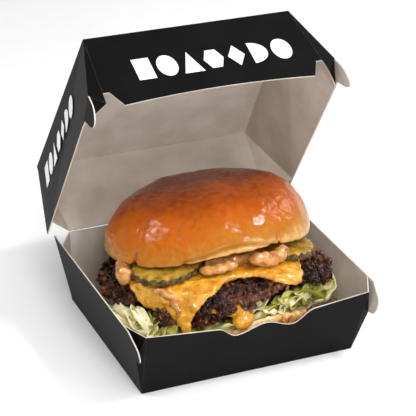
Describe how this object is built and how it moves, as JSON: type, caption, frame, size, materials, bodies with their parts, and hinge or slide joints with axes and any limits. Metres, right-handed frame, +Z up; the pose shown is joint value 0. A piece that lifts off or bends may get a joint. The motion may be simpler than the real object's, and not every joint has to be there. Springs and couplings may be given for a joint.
{
  "type": "burger in a clamshell",
  "caption": "Double smashed cheeseburger with pickles, sauce and lettuce on a glazed brioche bun, sitting in an open black board clamshell box with a hinged lid.",
  "frame": {"origin": "on the table, under the middle of the tray's flat underside", "axes": "+Z up, -Y towards the open front of the box, so the hinge runs along X at the back"},
  "size_m": [0.1246, 0.1361, 0.1367],
  "materials": {
    "board": "black matt-coated folding board",
    "bread": "soft toasted bread",
    "glaze": "egg-glazed brioche crust",
    "leaf": "shredded iceberg lettuce",
    "meat": "seared ground beef",
    "melt": "melted cheese",
    "brine": "pickled cucumber",
    "dressing": "glossy burger sauce"
  },
  "bodies": {
    "base": {"tray": "board", "bottom_bun": "bread", "lettuce": "leaf", "lower_patty": "meat", "lower_cheese": "melt", "upper_patty": "meat", "upper_cheese": "melt", "pickle_left": "brine", "pickle_right": "brine", "sauce": "dressing", "top_bun": "glaze"},
    "lid": {"lid": "board"}
  },
  "joints": [
    {"name": "lid_hinge", "type": "hinge", "parent": "base", "child": "lid", "pos_m": [0, 0.0505, 0.0342], "axis": [-1, 0, 0], "range_deg": [-58.5, 85]}
  ]
}
